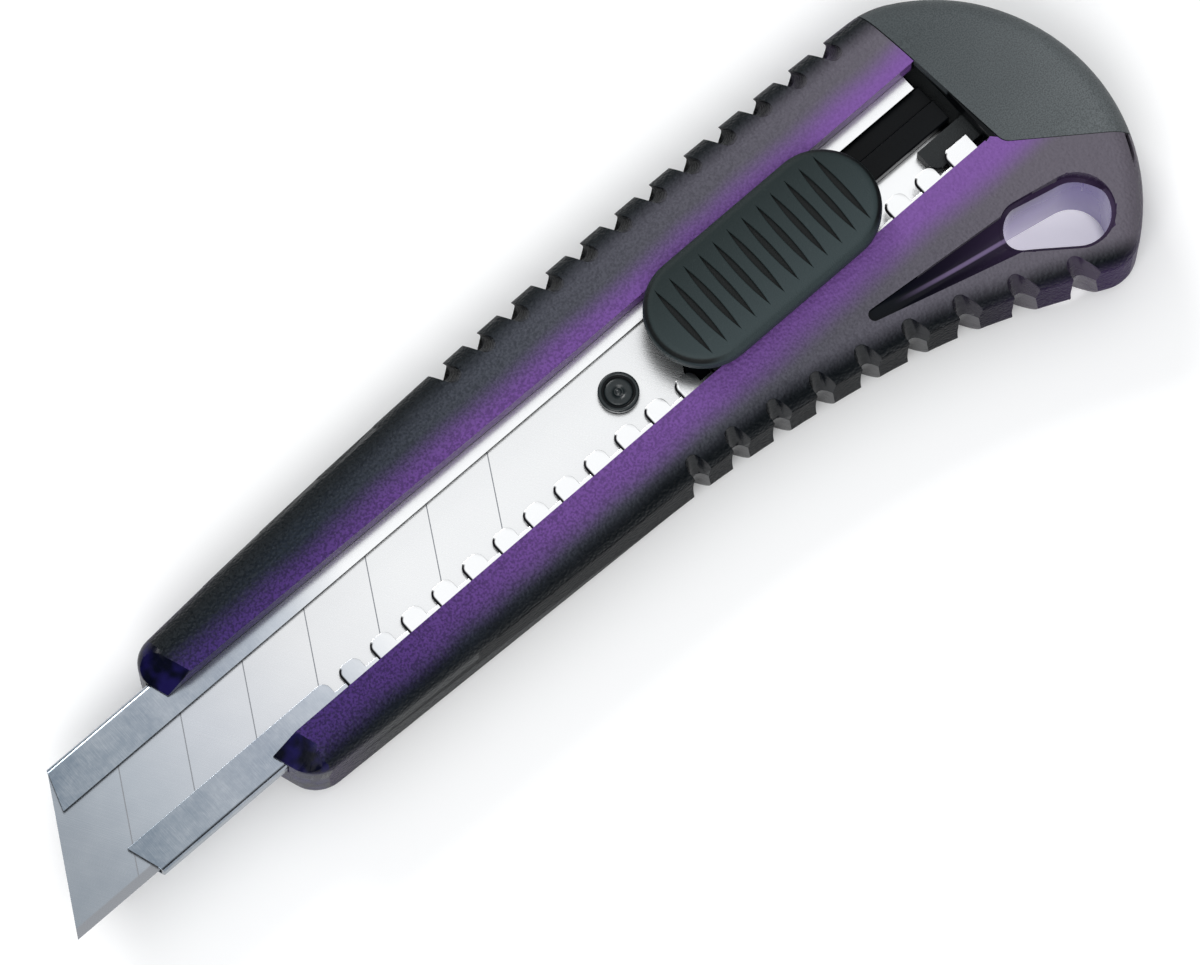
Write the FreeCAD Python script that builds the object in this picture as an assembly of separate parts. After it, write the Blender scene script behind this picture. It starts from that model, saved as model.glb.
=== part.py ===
"""Utility knife with an 18 mm snap-off blade: two-shell grip, steel rail, sliding blade carriage,
press-to-release lock, spare-blade store and pull-off end cap.

Working axes: +X from the blade tip to the end cap, +Y to the blade's spine, +Z up to the slide
button. x = 0 is the first detent tab of the rail, y = 0 the middle of the rail, z = 0 the back of
the grip. Each piece is moved once, on export, to put the origin under the middle of the object.
"""
import FreeCAD
import Part
import math
import os

V = FreeCAD.Vector

# ---- driving dimensions, mm -------------------------------------------------------------------
# snap-off blade
blade_width = 18.0
blade_thickness = 0.5
blade_length = 100.0
snap_angle = 59.5             # score lines and both ends, from the cutting edge
segment_pitch = 10.0
score_count = 7
score_width = 0.16
score_depth = 0.12
bevel_width = 1.4
edge_thickness = 0.06
tip_reach = 45.35             # blade tip ahead of the first detent tab
blade_hole_from_tip = 94.9
blade_hole_drop = 0.94        # hole centre below the blade's middle line
stud_clearance = 0.12

# rail
sheet = 0.45
rail_height = 3.0
rail_blade_clearance = 0.15   # each side of the blade
rail_bend = 0.8
spine_flange_width = 5.45
edge_flange_width = 5.05
spine_flange_front = 34.5     # ahead of the first tab, at the outer edge
spine_flange_slant = 1.9
edge_flange_front = 33.6      # at the flange's inner edge
edge_flange_slant = 1.6
rail_rear = 104.2
flange_end_relief = 0.8
rest_bump_back = 6.5          # behind the edge-side flange's front
rest_bump_inset = 1.9         # in from the blade's edges
rest_bump_gap = 0.05          # under the blade
tab_pitch = 5.0
tab_width = 3.2
tab_count = 21
scallop_depth = 1.95
tab_corner = 1.1
rest_bump_radius = 1.1        # embossed rests that hold the blade up at the rail's mouth

# grip
grip_height = 14.0
split_height = 8.0            # joint between the back and the front shell
floor_thickness = 1.6
rail_clearance = 0.15
bed_clearance = 0.15
crest_y = 16.85
crest_x = 66.0
crest_radius = 943.0
nose_x = -19.6                # corner of the spine-side prong, before it is rounded
nose_y = 13.4
heel_x = -10.9                # corner of the edge-side prong
heel_y = -13.6
belly_x = 44.0                # where the straight edge side begins to swell
belly_y = -15.3
rear_centre = (95.3, -8.3)
rear_radius = 26.2
tail_x = 108.5
shoulder_radius = 3.0
back_radius = 3.2
nose_corner = 3.8
heel_corner = 4.6
tail_corner = 5.0
crown_corner = 12.0
crown_x = 105.4               # where the spine side turns into the rear
crest_mid_x = 50.0            # a place along the spine side's arc
tail_slope = -0.48            # of the edge side where it meets the rear
seam_corner = 2.0
tip_facet_length = 3.6
tip_facet_drop = 2.6
window_spine = (6.7, 5.95, 6.2)    # spine-side edge at the front, the middle and the rear
window_edge = (-7.7, -7.4)         # edge-side edge at the front and the rear
window_middle_x = 45.0

# finger notches along both sides
notch_width = 2.2
notch_slant = 26.0
spine_notch_count = 12
spine_notch_x = 35.8
spine_notch_pitch = 5.74
spine_notch_depth = 3.7
edge_notch_count = 9
edge_notch_x = 49.6
edge_notch_pitch = 5.95
edge_notch_spread = 0.075
edge_notch_depth = 2.35
notch_depth_at_split = 0.9
notch_lap = 0.5               # the cutters of both shells run this far past the joint
notch_reach = 12.0

# lanyard hole and thumb groove in the tail of the grip
hole_front = (101.2, -18.9)
hole_front_radius = 2.8
hole_rear = (107.3, -21.6)
hole_rear_radius = 4.3
hole_rim = 0.55
hole_rim_depth = 1.0
groove_tip = (79.4, -15.0)
groove_tip_radius = 0.8
groove_depth = 0.9

# end cap
seam_x = 105.1
seam_lean = 0.06              # how far the seam leans back for each mm towards the edge side
seam_knee = (106.4, -9.0)
seam_tail = (121.0, -19.6)
seam_gap = 0.15
cap_wall = 1.9
neck_reach = 3.5              # the front shell's bridge runs this far inside the cap
neck_half = 11.0
neck_clearance = 0.15
plug_reach = 9.0
plug_wall = 1.0
plug_lap = 6.0                # behind the seam, into the cap
finger_root_start = 10.0      # behind the seam
finger_root_end = 14.5
finger_corner = 1.5
window_end = 0.4              # behind the seam
neck_start = 3.0              # ahead of the seam
finger_x = 98.2
finger_y = -2.2
finger_width = 3.5

# rail bed and spare blades
bed_front = -6.0
bed_rear = 96.0
bed_plate = 1.2
bed_wall = 1.0
spare_count = 2
spare_gap = 0.1
store_spring_start = 15.0
store_spring_length = 60.0
store_spring_width = 12.0
store_spring_thickness = 0.4
store_spring_foot = 1.5
store_spring_clearance = 0.3
spare_blade_front = 1.0

# carriage
slide_clearance = 0.15
tongue_width = 10.0
blade_seat = 0.1              # between the tongue and the blade
tongue_front = 4.0            # ahead of the stud
stud_radius = 2.45
stud_rise = 1.05              # above the blade
stud_recess = 0.18
block_rear = 82.9
collar_front = 64.2
collar_rear = 82.0
collar_wall = 1.0
collar_height = 2.2
tail_rear = 104.3
tail_width = 5.9
tail_height = 1.1
tail_rib_width = 3.2
tail_rib_height = 0.6
tail_offset = 0.75            # clear of the cap's stop finger
tail_edge_radius = 0.3
tail_lap = 2.0
tongue_corner = 3.0
tongue_rear = 70.0
stud_edge_radius = 0.3
stud_recess_rim = 0.6
blade_end_clearance = 0.3

# lock and slide button
tooth_near = 74.2             # the tooth stands in the scallop nearest to this
tooth_side_clearance = 0.2
leaf_thickness = 0.35
leaf_width = 5.2
pocket_clearance = 0.9        # beside the leaf
leaf_length = 12.0
rivet_radius = 0.7
rivet_inset = 2.2             # from the leaf's held end
rivet_rise = 0.6              # from the lip of the edge-side flange
rivet_head_share = 1.7
rivet_head = 0.3
leaf_start = 0.4
leaf_end = 2.0                # past the tooth
presser_front = 4.0           # ahead of the tooth
presser_rear = 1.5
presser_clearance = 0.1
stem_rise = 0.5
button_length = 34.7
button_width = 14.8
button_thickness = 2.35
button_offset = -0.87         # middle of the button below the middle of the rail
button_middle_x = 73.4
button_edge_radius = 1.3
button_lift = 0.95            # over the grip's face
press_travel = 0.7
rib_count = 12
rib_pitch = 2.38
rib_length = 11.0
rib_width = 1.1
rib_depth = 0.45
hairpin_width = 2.4
hairpin_thickness = 0.2
hairpin_clearance = 0.3       # from the collar's rear wall
plunger_clearance = 0.12
socket_depth = 1.0

# ---- levels and places that follow ----------------------------------------------------------
snap_run = 1 / math.tan(math.radians(snap_angle))
rail_half = blade_width / 2 + rail_blade_clearance + sheet
rail_low = split_height
rail_top = rail_low + rail_height
plate_top = rail_low + sheet
flange_low = rail_top - sheet
blade_top = flange_low - slide_clearance - 0.05
blade_low = blade_top - blade_thickness
spine_lip = rail_half - spine_flange_width
edge_lip = -rail_half + edge_flange_width
stud_x = blade_hole_from_tip - tip_reach
stud_y = -blade_hole_drop
carrier_low = plate_top + slide_clearance
tongue_top = blade_low - blade_seat
bed_half = rail_half + 0.75
bed_top = rail_low - 0.05
bed_low = floor_thickness + bed_clearance
store_top = bed_top - bed_plate
button_low = grip_height + button_lift
button_top = button_low + button_thickness
scallop_middle = (tab_pitch - tab_width) / 2
tooth_x = round((tooth_near + scallop_middle) / tab_pitch) * tab_pitch - scallop_middle
leaf_low = tongue_top + 0.1
leaf_top = leaf_low + leaf_thickness
stem_low = leaf_top + stem_rise + press_travel
block_top = flange_low - slide_clearance
leaf_side = edge_lip - scallop_depth + tooth_side_clearance
pocket_side = leaf_side + leaf_width + pocket_clearance
pocket_rear = 2.5             # past the tooth
pocket_floor = leaf_top + 0.1 - press_travel - plunger_clearance
beyond = 200.0                # longer than anything it cuts
past = 1.0                    # a cutter runs this far past a face
seat_lap = 0.05
tiny = 1e-3
long_run = 5.0                # an edge longer than this runs along the knife


# ---- small helpers --------------------------------------------------------------------------
def box(x0, x1, y0, y1, z0, z1):
    return Part.makeBox(x1 - x0, y1 - y0, z1 - z0, V(x0, y0, z0))


def rod(x, y, radius, z0, z1):
    return Part.makeCylinder(radius, z1 - z0, V(x, y, z0))


def plan(points):
    """A flat face at z = 0 from its corners."""
    corners = [V(x, y, 0) for x, y in points]
    return Part.Face(Part.makePolygon(corners + corners[:1]))


def prism(face, z0, z1):
    lifted = face.copy()
    lifted.translate(V(0, 0, z0))
    return lifted.extrude(V(0, 0, z1 - z0))


def side_profile(points, y0, y1):
    """A solid from (x, z) corners, extruded along Y."""
    corners = [V(x, y0, z) for x, z in points]
    return Part.Face(Part.makePolygon(corners + corners[:1])).extrude(V(0, y1 - y0, 0))


def two_rounds(first, first_radius, second, second_radius, z0, z1):
    """The hull of two upright cylinders: circles joined by their outer tangents."""
    dx, dy = second[0] - first[0], second[1] - first[1]
    apart = math.hypot(dx, dy)
    along = math.atan2(dy, dx)
    open_angle = math.acos((first_radius - second_radius) / apart)
    corners = []
    for centre, radius, turn in (
        (first, first_radius, open_angle), (second, second_radius, open_angle),
        (second, second_radius, -open_angle), (first, first_radius, -open_angle),
    ):
        corners.append((centre[0] + radius * math.cos(along + turn),
                        centre[1] + radius * math.sin(along + turn)))
    web = prism(plan(corners), z0, z1)
    ends = [rod(*first, first_radius, z0, z1), rod(*second, second_radius, z0, z1)]
    return web.fuse(ends).removeSplitter()


def upright_edges(shape, places, reach=0.6):
    """The vertical edges that stand nearest to the given (x, y) places."""
    found = []
    for edge in shape.Edges:
        ends = [v.Point for v in edge.Vertexes]
        if len(ends) != 2 or abs(ends[0].z - ends[1].z) < tiny:
            continue
        upright = ends[0].sub(ends[1]).cross(V(0, 0, 1)).Length < tiny
        if upright and any(math.hypot(ends[0].x - x, ends[0].y - y) < reach for x, y in places):
            found.append(edge)
    return found


def level_edges(shape, z):
    """All the edges that lie at height z."""
    return [edge for edge in shape.Edges
            if abs(edge.BoundBox.ZMin - z) < tiny and abs(edge.BoundBox.ZMax - z) < tiny]


def long_edges(shape, above=-1.0):
    """The edges that run along the knife, above a height."""
    return [edge for edge in shape.Edges if edge.BoundBox.XLength > long_run and edge.BoundBox.ZMin > above]


def one_solid(shape):
    """The single solid of a finished piece."""
    cleaned = shape.removeSplitter()
    assert len(cleaned.Solids) == 1, "a piece came out in more than one solid"
    return cleaned.Solids[0]


def crest_height(x):
    return crest_y - crest_radius + math.sqrt(crest_radius ** 2 - (x - crest_x) ** 2)


# ---- grip -----------------------------------------------------------------------------------
belly_slope = (belly_y - heel_y) / (belly_x - heel_x)
belly_points = [(belly_x, belly_y), (61.2, -16.7), (75.0, -18.9), (88.0, -22.1), (101.6, -27.6),
                (tail_x, -30.9)]


def belly_curve():
    """The edge side behind the front: it swells into the tail."""
    curve = Part.BSplineCurve()
    curve.interpolate(Points=[V(x, y, 0) for x, y in belly_points],
                      InitialTangent=V(1, belly_slope, 0), FinalTangent=V(1, tail_slope, 0))
    return curve


def belly_height(x):
    if x <= belly_x:
        return heel_y + belly_slope * (x - heel_x)
    line = Part.LineSegment(V(x, 0, 0), V(x, -beyond, 0))
    return belly_curve().intersectCC(line)[0].Y


def grip_outline():
    """The plan outline of the closed grip with its cap, before its corners are rounded."""
    crown = V(crown_x, crest_height(crown_x), 0)
    nose = V(nose_x, nose_y, 0)
    heel = V(heel_x, heel_y, 0)
    start = V(belly_x, belly_y, 0)
    tail = V(*belly_points[-1], 0)
    rear = V(rear_centre[0] + rear_radius, rear_centre[1], 0)
    edges = [
        Part.Arc(nose, V(crest_mid_x, crest_height(crest_mid_x), 0), crown).toShape(),
        Part.Arc(crown, rear, tail).toShape(),
        belly_curve().toShape(),
        Part.LineSegment(start, heel).toShape(),
        Part.LineSegment(heel, nose).toShape(),
    ]
    return Part.Face(Part.Wire(Part.__sortEdges__(edges))), (nose, heel, tail, crown)


def grip_block():
    """The whole rounded form of the grip and cap, before it is parted."""
    face, (nose, heel, tail, crown) = grip_outline()
    block = prism(face, 0, grip_height)
    rounds = ((nose, nose_corner), (heel, heel_corner), (tail, tail_corner), (crown, crown_corner))
    for corner, radius in rounds:
        block = block.makeFillet(radius, upright_edges(block, [(corner.x, corner.y)]))
    block = block.makeFillet(shoulder_radius, level_edges(block, grip_height))
    return block.makeFillet(back_radius, level_edges(block, 0))


def cap_region(shift=0.0):
    """Everything behind the seam between grip and cap."""
    spine_y = 30.0
    lean = seam_lean * spine_y
    corners = [(seam_x - lean + shift, spine_y), (seam_knee[0] + shift, seam_knee[1]),
               (seam_tail[0] + shift, seam_tail[1]), (beyond, seam_tail[1]), (beyond, spine_y)]
    region = prism(plan(corners), -past, grip_height + past)
    return region.makeFillet(seam_corner, upright_edges(region, [corners[1]]))


def tip_facet():
    """A wedge that bevels the face of both prong tips, parallel to the grip's slanted front."""
    slope = tip_facet_drop / tip_facet_length
    ahead, behind = 3.0, tip_facet_length + 3.0
    low = grip_height - tip_facet_drop - slope * ahead
    high = grip_height + slope * (behind - tip_facet_length)
    wedge = side_profile([(-ahead, low), (-ahead, high), (behind, high)], -10, 40)
    lean = math.degrees(math.atan2(heel_x - nose_x, nose_y - heel_y))
    wedge.rotate(V(0, 0, 0), V(0, 0, 1), lean)
    wedge.translate(V(heel_x, heel_y, 0))
    return wedge


def notch(x, y, side, deep):
    """One finger notch in the front shell's shoulder, and its twin in the back shell."""
    radius = notch_width / 2
    lean = math.radians(notch_slant)
    out = V(-side * math.sin(lean), side * math.cos(lean), 0)
    across = V(math.cos(lean), math.sin(lean), 0)
    tools = []
    for z0, z1 in ((split_height - notch_lap, grip_height + notch_lap),
                   (split_height + notch_lap, -notch_lap)):
        start = V(x, y, z0) - V(0, side * notch_depth_at_split, 0)
        centre = start + out * radius
        left, right = centre - across * radius, centre + across * radius
        arc = Part.Arc(left, centre - out * radius, right).toShape()
        reach = out * notch_reach
        sides = [Part.LineSegment(right, right + reach).toShape(),
                 Part.LineSegment(right + reach, left + reach).toShape(),
                 Part.LineSegment(left + reach, left).toShape()]
        face = Part.Face(Part.Wire([arc] + sides))
        tools.append(face.extrude(V(0, -side * (deep - notch_depth_at_split), z1 - z0)))
    return tools


def notches():
    """Cutters for the front shell and for the back shell, all down both sides."""
    front, back = [], []
    for i in range(spine_notch_count):
        x = spine_notch_x + i * spine_notch_pitch
        tools = notch(x, crest_height(x), 1, spine_notch_depth)
        front.append(tools[0])
        back.append(tools[1])
    for i in range(edge_notch_count):
        x = edge_notch_x + i * edge_notch_pitch + i * i * edge_notch_spread
        tools = notch(x, belly_height(x), -1, edge_notch_depth)
        front.append(tools[0])
        back.append(tools[1])
    return front, back


def lanyard_hole(grow, z0, z1):
    return two_rounds(hole_front, hole_front_radius + grow, hole_rear, hole_rear_radius + grow, z0, z1)


def thumb_groove():
    """A shallow teardrop that widens from its tip to the lanyard hole."""
    return two_rounds(groove_tip, groove_tip_radius, hole_front, hole_front_radius,
                      grip_height - groove_depth, grip_height + past)


def window():
    """The slot in the grip's face that the carriage travels in, open at the front."""
    front_x = nose_x - 5 * past
    rear_x = seam_x + window_end
    corners = [(front_x, window_edge[0]), (rear_x, window_edge[1]), (rear_x, window_spine[2]),
               (window_middle_x, window_spine[1]), (front_x, window_spine[0])]
    return prism(plan(corners), rail_top - past, grip_height + past)


def front_shell(block):
    """The upper half of the grip: two cheeks beside the window, bridged under the cap."""
    half = rail_half + rail_clearance
    shell = block.common(box(-beyond, beyond, -beyond, beyond, split_height, grip_height + past))
    shell = shell.cut(notches()[0]).cut(cap_region(-seam_gap))
    neck = box(seam_x - neck_start, seam_x + neck_reach, -neck_half, neck_half, split_height,
               grip_height - cap_wall - neck_clearance)
    rail_bay = box(-beyond, beyond, -half, half, split_height - past, rail_top + rail_clearance)
    shell = shell.fuse(neck).cut([window(), rail_bay, tip_facet()])
    return one_solid(shell.cut([thumb_groove(), lanyard_hole(0, -past, grip_height + past)]).cut(
        lanyard_hole(hole_rim, grip_height - hole_rim_depth, grip_height + past)))


def back_shell(block):
    half = bed_half + bed_clearance
    shell = block.common(box(-beyond, beyond, -beyond, beyond, -past, split_height))
    bay = box(bed_front - bed_clearance, beyond, -half, half, floor_thickness, split_height + past)
    seat = box(-beyond, bed_front + past, -rail_half - rail_clearance, rail_half + rail_clearance,
               split_height - seat_lap, split_height + past)
    shell = shell.cut(notches()[1]).cut([cap_region(-seam_gap), bay, seat])
    return one_solid(shell.cut(lanyard_hole(0, -past, grip_height + past)))


# ---- rail -----------------------------------------------------------------------------------
def scallop(x0, x1):
    """One gap between two tabs: tab corners are rounded where they meet it."""
    mouth = edge_lip + past
    floor = edge_lip - scallop_depth
    low, high = flange_low - past, rail_top + past
    tools = [prism(plan([(x0, floor), (x1, floor), (x1, mouth), (x0, mouth)]), low, high)]
    for x, way in ((x0, -1), (x1, 1)):
        corner = (x + way * tab_corner, edge_lip - tab_corner)
        square = prism(plan([(x, corner[1]), corner, (corner[0], mouth), (x, mouth)]), low, high)
        tools.append(square.cut([rod(*corner, tab_corner, low, high)]))
    return tools


def rail():
    """A steel C-channel; its edge-side flange is scalloped for the lock tooth."""
    front = -spine_flange_front - spine_flange_slant - past
    outer = box(front, rail_rear, -rail_half, rail_half, rail_low, rail_top)
    outer = outer.makeFillet(rail_bend, long_edges(outer))
    inner = box(front - past, rail_rear + past, -rail_half + sheet, rail_half - sheet,
                plate_top, flange_low)
    inner = inner.makeFillet(rail_bend - sheet, long_edges(inner))
    slot = box(front - past, rail_rear + past, edge_lip, spine_lip, flange_low - past, rail_top + past)
    # the mouth: the spine-side flange leads and slants one way, the edge-side flange the other
    wide = rail_half + past
    edge_corner = -edge_flange_front + edge_flange_slant
    mouth = prism(plan([
        (front - past, wide), (-spine_flange_front, wide), (-spine_flange_front, rail_half),
        (-spine_flange_front - spine_flange_slant, spine_lip), (-edge_flange_front, edge_lip),
        (edge_corner, -rail_half), (edge_corner, -wide), (front - past, -wide)]),
        rail_low - past, rail_top + past)
    flange_end = box(rail_rear - flange_end_relief, rail_rear + past, spine_lip - past, wide,
                     plate_top + flange_end_relief / 2, rail_top + past)
    gaps = []
    for i in range(tab_count):
        gaps += scallop(i * tab_pitch - (tab_pitch - tab_width), i * tab_pitch)
    channel = one_solid(outer.cut([inner, slot]).cut([mouth, flange_end] + gaps))
    bump_y = blade_width / 2 - rest_bump_inset
    bumps = [rod(-edge_flange_front + rest_bump_back, side * bump_y, rest_bump_radius,
                 plate_top - sheet / 2, blade_low - rest_bump_gap) for side in (-1, 1)]
    return one_solid(channel.fuse(bumps))


# ---- blades ---------------------------------------------------------------------------------
def blade(tip_x, z0):
    """A parallelogram of steel, bevelled along its cutting edge and scored into segments."""
    half = blade_width / 2
    run = blade_width * snap_run
    z1 = z0 + blade_thickness
    form = prism(plan([(tip_x, -half), (tip_x + blade_length, -half), (tip_x + blade_length + run, half),
                       (tip_x + run, half)]), z0, z1)
    thin = (blade_thickness - edge_thickness) / 2
    front = tip_x - past
    for low, high in ((z0, z0 + thin), (z1, z1 - thin)):
        corners = [V(front, -half, low), V(front, -half, high), V(front, -half + bevel_width, low)]
        wedge = Part.Face(Part.makePolygon(corners + corners[:1]))
        wedge = wedge.extrude(V(blade_length + run + 2 * past, 0, 0))
        form = form.cut(wedge)
    cuts = [rod(tip_x + blade_hole_from_tip, stud_y, stud_radius + stud_clearance, z0 - past, z1 + past)]
    for i in range(score_count):
        low_x = tip_x + (i + 1) * segment_pitch - past * snap_run
        high_x = low_x + run + 2 * past * snap_run
        line = plan([(low_x - score_width / 2, -half - past), (low_x + score_width / 2, -half - past),
                     (high_x + score_width / 2, half + past), (high_x - score_width / 2, half + past)])
        cuts.append(prism(line, z1 - score_depth, z1 + past))
    return one_solid(form.cut(cuts))


# ---- carriage -------------------------------------------------------------------------------
def blade_end_x(y):
    """Where the blade's slanted rear end crosses a line at y."""
    return -tip_reach + blade_length + (y + blade_width / 2) * snap_run


def carrier():
    """The moulded slide: tongue and stud under the blade, lock pocket, collar and tail."""
    half = rail_half - sheet - slide_clearance
    tongue_front_x = stud_x - tongue_front
    tongue = box(tongue_front_x, tongue_rear, -tongue_width / 2, tongue_width / 2, carrier_low, tongue_top)
    tongue_corners = [(tongue_front_x, -tongue_width / 2), (tongue_front_x, tongue_width / 2)]
    tongue = tongue.makeFillet(tongue_corner, upright_edges(tongue, tongue_corners))
    stud_top = blade_top + stud_rise
    stud = rod(stud_x, stud_y, stud_radius, carrier_low, stud_top)
    stud = stud.makeFillet(stud_edge_radius, level_edges(stud, stud_top))
    recess = rod(stud_x, stud_y, stud_radius - stud_recess_rim, stud_top - stud_recess, stud_top + past)
    block = prism(plan([
        (blade_end_x(-half) + blade_end_clearance, -half), (block_rear, -half), (block_rear, half),
        (blade_end_x(half) + blade_end_clearance, half)]), carrier_low, block_top)
    collar_low_y = edge_lip + slide_clearance * 2
    collar_high_y = spine_lip - slide_clearance * 2
    collar_top = rail_top + collar_height
    collar = box(collar_front, collar_rear, collar_low_y, collar_high_y, carrier_low, collar_top)
    inside = box(collar_front + collar_wall, collar_rear - collar_wall, collar_low_y + collar_wall,
                 collar_high_y - collar_wall, tongue_top, collar_top + past)
    pocket = box(tooth_x - leaf_length, tooth_x + pocket_rear, edge_lip - scallop_depth - blade_end_clearance,
                 pocket_side, pocket_floor, block_top + past)
    tail_y = finger_y + tail_offset
    tail_front = block_rear - tail_lap
    tail_top = carrier_low + tail_height
    tail = box(tail_front, tail_rear, tail_y, tail_y + tail_width, carrier_low, tail_top)
    tail = tail.makeFillet(tail_edge_radius, long_edges(tail, carrier_low))
    rib = box(tail_front, tail_rear, tail_y, tail_y + tail_rib_width,
              carrier_low, tail_top + tail_rib_height)
    rib = rib.makeFillet(tail_edge_radius, long_edges(rib, carrier_low))
    body = tongue.fuse([stud, block, collar, tail, rib])
    rivet_hole = rod(*rivet_place(), rivet_radius, carrier_low - past, tongue_top + past)
    return one_solid(body.cut([recess, inside, pocket, rivet_hole]))


def rivet_place():
    """The middle of the rivet that holds the leaf."""
    return tooth_x - leaf_length + rivet_inset, edge_lip + rivet_rise


def lock_spring():
    """A steel leaf, held at one end, with the tooth that stands in a scallop of the rail."""
    leaf = box(tooth_x - leaf_length + leaf_start, tooth_x + leaf_end,
               leaf_side, leaf_side + leaf_width, leaf_low, leaf_top)
    half = scallop_middle - tooth_side_clearance
    tooth = box(tooth_x - half, tooth_x + half, leaf_side, edge_lip - tooth_side_clearance, leaf_low, rail_top)
    hole = rod(*rivet_place(), rivet_radius, leaf_low - past, leaf_top + past)
    return one_solid(leaf.fuse([tooth]).cut([hole]))


def spring_rivet():
    x, y = rivet_place()
    shank = rod(x, y, rivet_radius, carrier_low + presser_clearance, leaf_top)
    head = rod(x, y, rivet_radius * rivet_head_share, leaf_top, leaf_top + rivet_head)
    return one_solid(shank.fuse([head]))


def plunger_bounds():
    """The plunger's sides, inside the carrier's collar."""
    gap = collar_wall + plunger_clearance
    return (collar_front + gap, collar_rear - gap,
            edge_lip + slide_clearance * 2 + gap, spine_lip - slide_clearance * 2 - gap)


def plunger():
    """The stem under the button: guided by the carrier's collar, it presses the lock leaf down."""
    x0, x1, y0, y1 = plunger_bounds()
    stem = box(x0, x1, y0, y1, stem_low, button_low + socket_depth)
    presser = box(tooth_x - presser_front, tooth_x + presser_rear, y0, pocket_side - plunger_clearance,
                  leaf_top + presser_clearance, stem_low)
    return one_solid(stem.fuse([presser]))


def hairpin_spring():
    """A hairpin of spring strip between the tongue and the stem: it lifts the button again."""
    rear = collar_rear - collar_wall - hairpin_clearance
    side = (edge_lip + spine_lip - hairpin_width) / 2
    bend = (stem_low - tongue_top) / 2
    middle = V(tooth_x + leaf_end + plunger_clearance + bend, side, tongue_top + bend)
    across = V(0, 1, 0)
    outer = Part.makeCylinder(bend, hairpin_width, middle, across)
    arms = box(middle.x, rear, side, side + hairpin_width, tongue_top, stem_low)
    hollow = Part.makeCylinder(bend - hairpin_thickness, hairpin_width, middle, across)
    between = box(middle.x, rear + past, side, side + hairpin_width,
                  tongue_top + hairpin_thickness, stem_low - hairpin_thickness)
    return one_solid(outer.fuse([arms]).cut([hollow, between]))


def lens(x, y, length, width, z0, z1):
    """A pointed lens in plan, from two arcs."""
    top, bottom = V(x, y + length / 2, 0), V(x, y - length / 2, 0)
    sides = [Part.Arc(bottom, V(x + width / 2, y, 0), top).toShape(),
             Part.Arc(top, V(x - width / 2, y, 0), bottom).toShape()]
    return prism(Part.Face(Part.Wire(sides)), z0, z1)


def slide_button():
    """The thumb button, with pointed grip grooves across its top."""
    end = button_width / 2
    reach = button_length / 2 - end
    pad = two_rounds((button_middle_x - reach, button_offset), end,
                     (button_middle_x + reach, button_offset), end - tiny, button_low, button_top)
    pad = pad.makeFillet(button_edge_radius, level_edges(pad, button_top))
    x0, x1, y0, y1 = plunger_bounds()
    socket = box(x0, x1, y0, y1, button_low - past, button_low + socket_depth)
    first = button_middle_x - rib_pitch * (rib_count - 1) / 2
    grooves = [lens(first + i * rib_pitch, button_offset, rib_length, rib_width, button_top - rib_depth,
                    button_top + past) for i in range(rib_count)]
    return one_solid(pad.cut([socket] + grooves))


# ---- bed, store and cap ---------------------------------------------------------------------
def rail_bed():
    """The inner tray: it carries the rail and roofs the spare-blade store."""
    outer = box(bed_front, bed_rear, -bed_half, bed_half, bed_low, bed_top)
    store = box(bed_front + bed_wall, bed_rear + past, -bed_half + bed_wall, bed_half - bed_wall,
                bed_low - past, store_top)
    return one_solid(outer.cut([store]))


def store_spring():
    """An arched leaf that holds the spare blades up against the bed."""
    low = floor_thickness + seat_lap
    high = store_top - spare_count * (blade_thickness + spare_gap) - store_spring_clearance
    x0, x2 = store_spring_start, store_spring_start + store_spring_length
    x1 = (x0 + x2) / 2
    y = -store_spring_width / 2
    outer = Part.Arc(V(x0, y, low), V(x1, y, high), V(x2, y, low)).toShape()
    x3, x4 = x2 - store_spring_foot, x0 + store_spring_foot
    inner = Part.Arc(V(x3, y, low), V(x1, y, high - store_spring_thickness), V(x4, y, low)).toShape()
    ends = [Part.LineSegment(V(x2, y, low), V(x3, y, low)).toShape(),
            Part.LineSegment(V(x4, y, low), V(x0, y, low)).toShape()]
    return Part.Face(Part.Wire([outer, ends[0], inner, ends[1]])).extrude(V(0, store_spring_width, 0))


def spare_blade(index):
    z = store_top - (index + 1) * (blade_thickness + spare_gap)
    return blade(bed_front + bed_wall + spare_blade_front, z)


def end_cap(block):
    """The pull-off cap: hollow, with a plug into the grip and a stop finger in the rail."""
    cap = block.common(cap_region())
    inside = Part.Face(grip_outline()[0].OuterWire.makeOffset2D(-cap_wall))
    hollow = prism(inside, cap_wall, grip_height - cap_wall).common(cap_region())
    plug_x = seam_x - plug_reach
    plug_top = rail_low - bed_clearance
    plug = box(plug_x, seam_x + plug_lap, -bed_half, bed_half, bed_low, plug_top)
    throat = box(plug_x - past, seam_x + plug_lap + past / 2, -bed_half + plug_wall, bed_half - plug_wall,
                 bed_low + plug_wall, plug_top - plug_wall)
    finger_side = finger_y - finger_width
    finger = box(finger_x, seam_x + finger_root_end - past / 2, finger_side, finger_y, carrier_low, block_top)
    finger = finger.makeFillet(finger_corner, upright_edges(finger, [(finger_x, finger_side)]))
    root = box(seam_x + finger_root_start, seam_x + finger_root_end, finger_side, finger_y,
               cap_wall - seat_lap, block_top)
    return one_solid(cap.cut([hollow]).fuse([plug, finger, root]).cut([throat]))


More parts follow.
